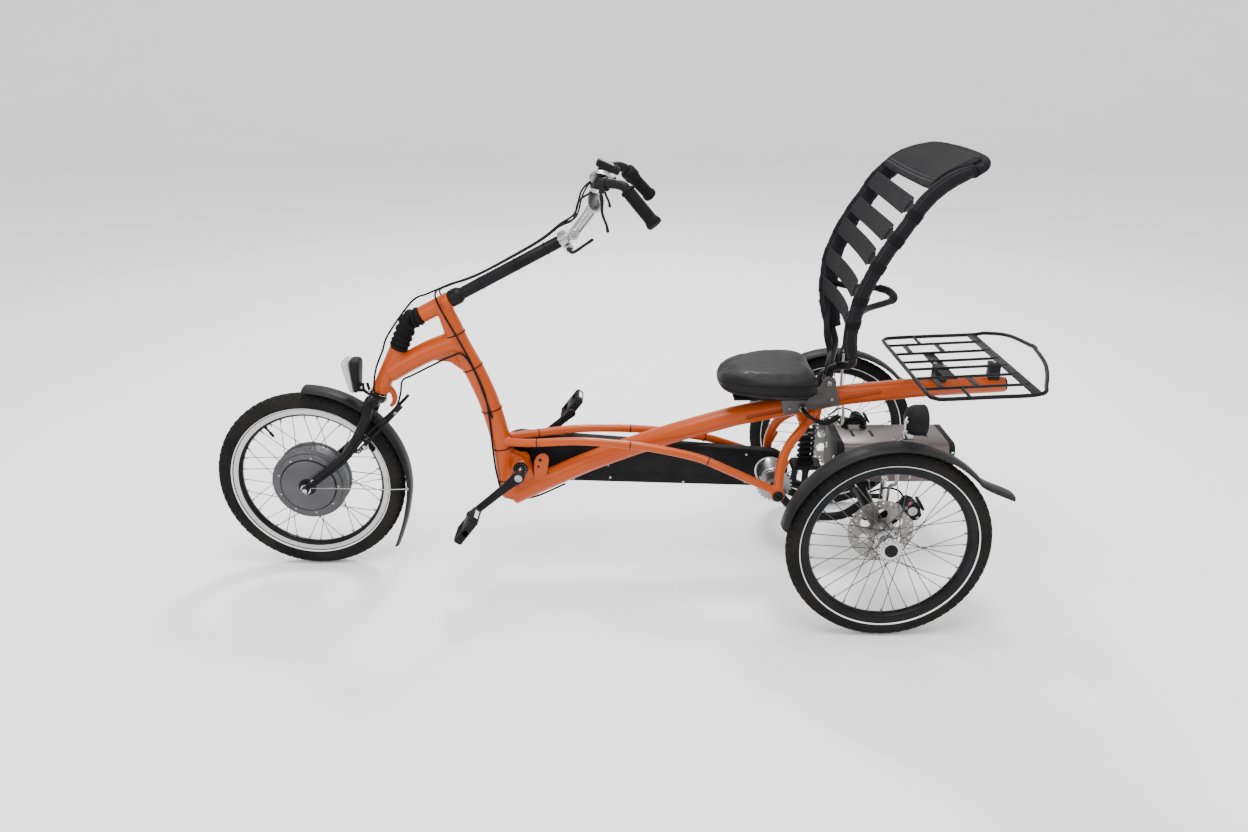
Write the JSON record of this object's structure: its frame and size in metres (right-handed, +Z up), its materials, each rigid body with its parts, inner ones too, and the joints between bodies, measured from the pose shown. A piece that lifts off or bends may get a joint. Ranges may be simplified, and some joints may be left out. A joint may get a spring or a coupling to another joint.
{
  "type": "adult tricycle",
  "caption": "Semi-recumbent adult tricycle with a steered motor front wheel, sprung rear axle with two wheels, reclining net seat back, battery and rear carrier.",
  "frame": {"origin": "on the ground under the centre of the object's bounding box", "axes": "+X towards the rear wheels, +Y towards the rider's right, +Z up"},
  "size_m": [2.1361, 0.762, 1.1089],
  "materials": {
    "frame_paint": "orange gloss",
    "black_metal": "satin black",
    "black_plastic": "matt",
    "silver_metal": "satin",
    "motor_grey": "satin grey",
    "steel": "brushed",
    "tyre_rubber": "matt",
    "soft_rubber": "matt",
    "seat_vinyl": "smooth black vinyl",
    "net_fabric": "woven black webbing",
    "battery_case": "satin silver brown",
    "lamp_clear": "clear lens"
  },
  "bodies": {
    "frame": {"front_frame": "frame_paint", "main_tube": "frame_paint", "side_rail_left": "frame_paint", "side_rail_right": "frame_paint", "pivot_axle": "black_metal", "steering_boot": "soft_rubber", "chain_case_inner": "black_plastic", "chain_case_outer": "black_plastic", "front_chain": "steel", "carrier": "black_metal", "brake_cable": "black_plastic", "motor_cable": "black_plastic"},
    "fork": {"fork": "black_metal", "front_mudguard": "black_plastic", "motor_axle": "black_metal"},
    "headlamp": {"headlamp_body": "black_plastic", "headlamp_lens": "lamp_clear"},
    "front_wheel": {"front_tyre": "tyre_rubber", "spoked_rim_front": "black_metal", "hub_motor": "motor_grey"},
    "brake_arm_left": {"brake_arm_left": "black_metal"},
    "brake_arm_right": {"brake_arm_right": "black_metal"},
    "column": {"column_tube": "black_metal", "handlebar_cable": "black_plastic"},
    "column_slide": {"column_inner_tube": "silver_metal"},
    "clamp_lever": {"clamp_lever": "black_metal"},
    "handlebar": {"stem": "silver_metal", "handlebar": "black_metal", "grip_left": "soft_rubber", "grip_right": "soft_rubber", "bell": "silver_metal", "display_unit": "black_plastic"},
    "twist_shifter": {"twist_shifter": "black_plastic"},
    "brake_lever_left": {"brake_lever_left": "black_metal"},
    "brake_lever_right": {"brake_lever_right": "black_metal"},
    "cranks": {"crank_left": "black_metal", "crank_right": "black_metal"},
    "pedal_left": {"pedal_left": "black_plastic"},
    "pedal_right": {"pedal_right": "black_plastic"},
    "gear_hub": {"gear_hub": "silver_metal"},
    "rear_unit": {"axle_carrier": "black_metal", "battery": "battery_case", "coil_spring": "black_metal", "brake_caliper_left": "black_metal", "brake_caliper_right": "black_metal", "mudguard_left": "black_plastic", "mudguard_right": "black_plastic", "tail_light": "black_plastic"},
    "wheel_left": {"tyre_left": "tyre_rubber", "spoked_wheel_left": "silver_metal", "brake_disc_left": "steel"},
    "wheel_right": {"tyre_right": "tyre_rubber", "spoked_wheel_right": "silver_metal", "brake_disc_right": "steel"},
    "seat_slide": {"seat_bracket": "motor_grey", "seat_cushion": "seat_vinyl"},
    "seat_lock_lever": {"seat_lock_lever": "black_metal"},
    "backrest": {"backrest_frame": "black_metal", "backrest_sling": "net_fabric", "headrest_pad": "net_fabric"}
  },
  "joints": [
    {"name": "fork_turn", "type": "hinge", "parent": "frame", "child": "fork", "pos_m": [-0.5555, 0, 0.62], "axis": [0.4446, 0, 0.8957], "range_deg": [-35, 35]},
    {"name": "column_turn", "type": "hinge", "parent": "frame", "child": "column", "pos_m": [-0.4135, 0, 0.747], "axis": [0.8854, 0, 0.4648], "range_deg": [-35, 35]},
    {"name": "column_extend", "type": "slide", "parent": "column", "child": "column_slide", "axis": [0.8854, 0, 0.4648], "range_m": [0, 0.08]},
    {"name": "clamp_lever_turn", "type": "hinge", "parent": "column_slide", "child": "clamp_lever", "pos_m": [-0.11459, -0.0185, 0.87682], "axis": [0, 1, 0], "range_deg": [0, 100]},
    {"name": "stem_tilt", "type": "hinge", "parent": "column_slide", "child": "handlebar", "pos_m": [-0.10184, 0, 0.91062], "axis": [0, 1, 0], "range_deg": [-15, 20]},
    {"name": "twist_shifter_turn", "type": "hinge", "parent": "handlebar", "child": "twist_shifter", "pos_m": [0.02692, 0.166, 1.04], "axis": [0.6209, 0.355, -0.6989], "range_deg": [-30, 30]},
    {"name": "brake_lever_right_squeeze", "type": "hinge", "parent": "handlebar", "child": "brake_lever_right", "pos_m": [-0.03228, 0.141, 1.0277], "axis": [0.2389, -0.9348, -0.2626], "range_deg": [0, 18], "stiffness_Nm_per_rad": 0.8},
    {"name": "brake_lever_left_squeeze", "type": "hinge", "parent": "handlebar", "child": "brake_lever_left", "pos_m": [-0.03228, -0.141, 1.0277], "axis": [-0.2389, -0.9348, 0.2626], "range_deg": [0, 18], "stiffness_Nm_per_rad": 0.8},
    {"name": "brake_arm_right_swing", "type": "hinge", "parent": "fork", "child": "brake_arm_right", "pos_m": [-0.6685, 0.04, 0.356], "axis": [0.713, 0, -0.7011], "range_deg": [0, 3]},
    {"name": "brake_arm_left_swing", "type": "hinge", "parent": "fork", "child": "brake_arm_left", "pos_m": [-0.6685, -0.04, 0.356], "axis": [-0.713, 0, 0.7011], "range_deg": [0, 3]},
    {"name": "headlamp_tilt", "type": "hinge", "parent": "fork", "child": "headlamp", "pos_m": [-0.644, 0, 0.526], "axis": [0, 1, 0], "range_deg": [-10, 10]},
    {"name": "front_wheel_spin", "type": "hinge", "parent": "fork", "child": "front_wheel", "pos_m": [-0.8185, 0, 0.25], "axis": [0, 1, 0], "continuous": true},
    {"name": "crank_spin", "type": "hinge", "parent": "frame", "child": "cranks", "pos_m": [-0.2535, 0, 0.297], "axis": [0, 1, 0], "continuous": true},
    {"name": "pedal_left_spin", "type": "hinge", "parent": "cranks", "child": "pedal_left", "pos_m": [-0.38173, -0.16, 0.19316], "axis": [0, 1, 0], "continuous": true},
    {"name": "pedal_right_spin", "type": "hinge", "parent": "cranks", "child": "pedal_right", "pos_m": [-0.12527, 0.16, 0.40084], "axis": [0, 1, 0], "continuous": true},
    {"name": "gear_hub_spin", "type": "hinge", "parent": "frame", "child": "gear_hub", "pos_m": [0.4145, 0, 0.258], "axis": [0, 1, 0], "continuous": true},
    {"name": "rear_unit_rise", "type": "hinge", "parent": "frame", "child": "rear_unit", "pos_m": [0.4145, 0, 0.258], "axis": [0, -1, 0], "range_deg": [0, 6], "stiffness_Nm_per_rad": 500, "springref_deg": -9.17, "deforming": ["coil_spring"]},
    {"name": "wheel_left_spin", "type": "hinge", "parent": "rear_unit", "child": "wheel_left", "pos_m": [0.6415, -0.347, 0.243], "axis": [0, 1, 0], "continuous": true},
    {"name": "wheel_right_spin", "type": "hinge", "parent": "rear_unit", "child": "wheel_right", "pos_m": [0.6415, 0.347, 0.243], "axis": [0, 1, 0], "continuous": true},
    {"name": "seat_fore_aft", "type": "slide", "parent": "frame", "child": "seat_slide", "axis": [0.9794, 0, 0.202], "range_m": [-0.14, 0.02]},
    {"name": "seat_lock_turn", "type": "hinge", "parent": "seat_slide", "child": "seat_lock_lever", "pos_m": [0.47841, 0, 0.4673], "axis": [0, -1, 0], "range_deg": [0, 50]},
    {"name": "backrest_recline", "type": "hinge", "parent": "seat_slide", "child": "backrest", "pos_m": [0.5435, 0, 0.533], "axis": [0, 1, 0], "range_deg": [-15, 15]}
  ],
  "couplings": [
    {"joint": "column_turn", "follows": "fork_turn", "ratio": 1},
    {"joint": "brake_arm_left_swing", "follows": "brake_lever_left_squeeze", "ratio": 0.1666},
    {"joint": "brake_arm_right_swing", "follows": "brake_lever_left_squeeze", "ratio": 0.1666},
    {"joint": "gear_hub_spin", "follows": "crank_spin", "ratio": 1.5556}
  ]
}
